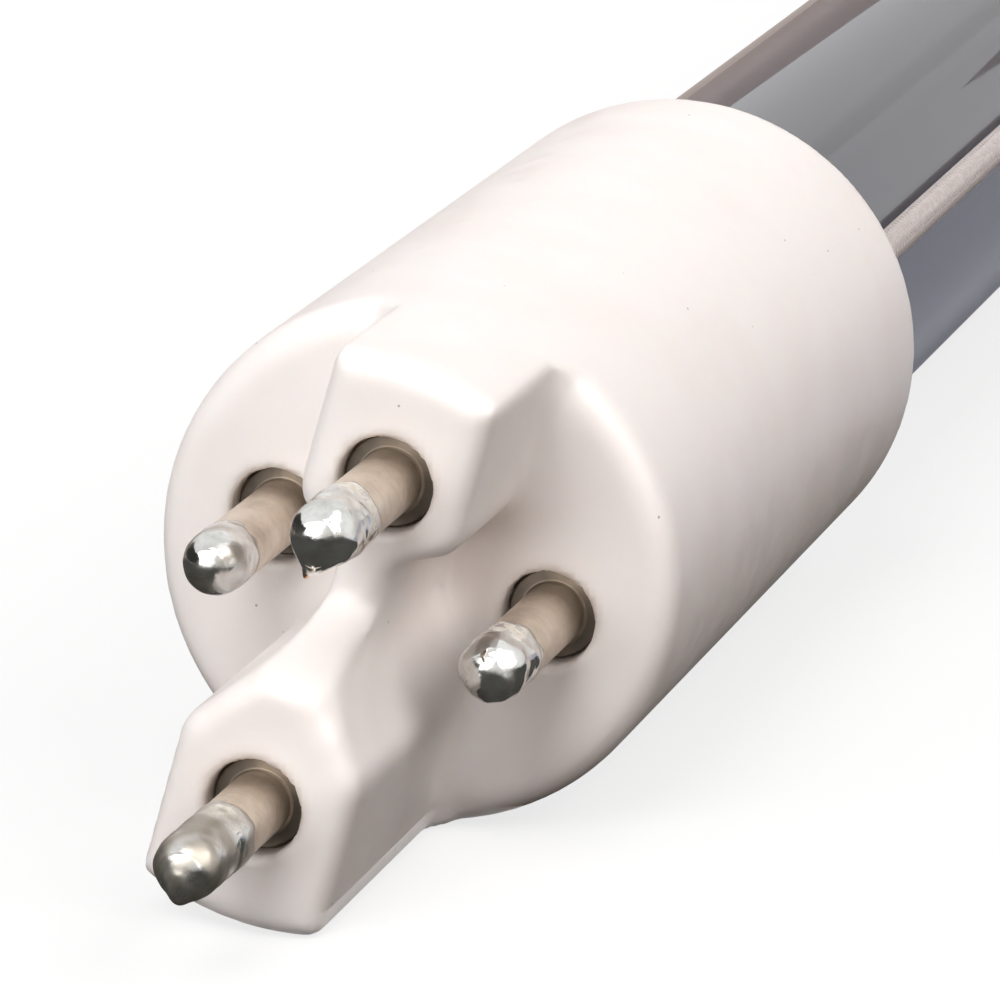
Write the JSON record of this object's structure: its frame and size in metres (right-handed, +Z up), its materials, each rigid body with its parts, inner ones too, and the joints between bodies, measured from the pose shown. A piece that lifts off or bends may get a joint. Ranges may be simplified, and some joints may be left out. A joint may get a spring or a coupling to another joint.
{
  "type": "single-ended four-pin germicidal lamp tube",
  "caption": "Slim quartz discharge tube with a stepped white ceramic base that holds round contact pins at staggered levels, and a plain ceramic far cap.",
  "frame": {"origin": "on the lamp's axis, halfway along the straight barrel of the ceramic base", "axes": "+Y along the lamp's axis from the pins to the far cap, +Z up and +X to the right when looking along +Y"},
  "size_m": [0.02, 0.2328, 0.02],
  "materials": {
    "ceramic": "fired steatite, warm white, fine matt glaze",
    "cement": "dry lamp cement",
    "pin_metal": "dull nickel-plated brass, tan grey",
    "solder": "bright dipped solder",
    "quartz": "clear quartz",
    "amalgam": "bright grey amalgam",
    "foil_metal": "dark molybdenum foil",
    "post_metal": "drawn wire",
    "filament_metal": "coated tungsten coil",
    "lead_metal": "tinned nickel wire",
    "sleeving": "pale insulating sleeve"
  },
  "bodies": {
    "root": {"base_shell": "ceramic", "base_cement": "cement", "contact_pin_1": "pin_metal", "contact_pin_2": "pin_metal", "contact_pin_3": "pin_metal", "contact_pin_4": "pin_metal", "pin_solder_1": "solder", "pin_solder_2": "solder", "pin_solder_3": "solder", "pin_solder_4": "solder", "quartz_tube": "quartz", "amalgam_pellet": "amalgam", "near_foil_1": "foil_metal", "near_foil_2": "foil_metal", "near_post_1": "post_metal", "near_post_2": "post_metal", "near_filament": "filament_metal", "near_lead_1": "lead_metal", "near_lead_2": "lead_metal", "far_foil_1": "foil_metal", "far_foil_2": "foil_metal", "far_post_1": "post_metal", "far_post_2": "post_metal", "far_filament": "filament_metal", "return_wire_1": "lead_metal", "return_wire_2": "lead_metal", "wire_sleeve_1": "sleeving", "wire_sleeve_2": "sleeving", "end_cap": "ceramic", "cap_cement": "cement"}
  },
  "joints": []
}
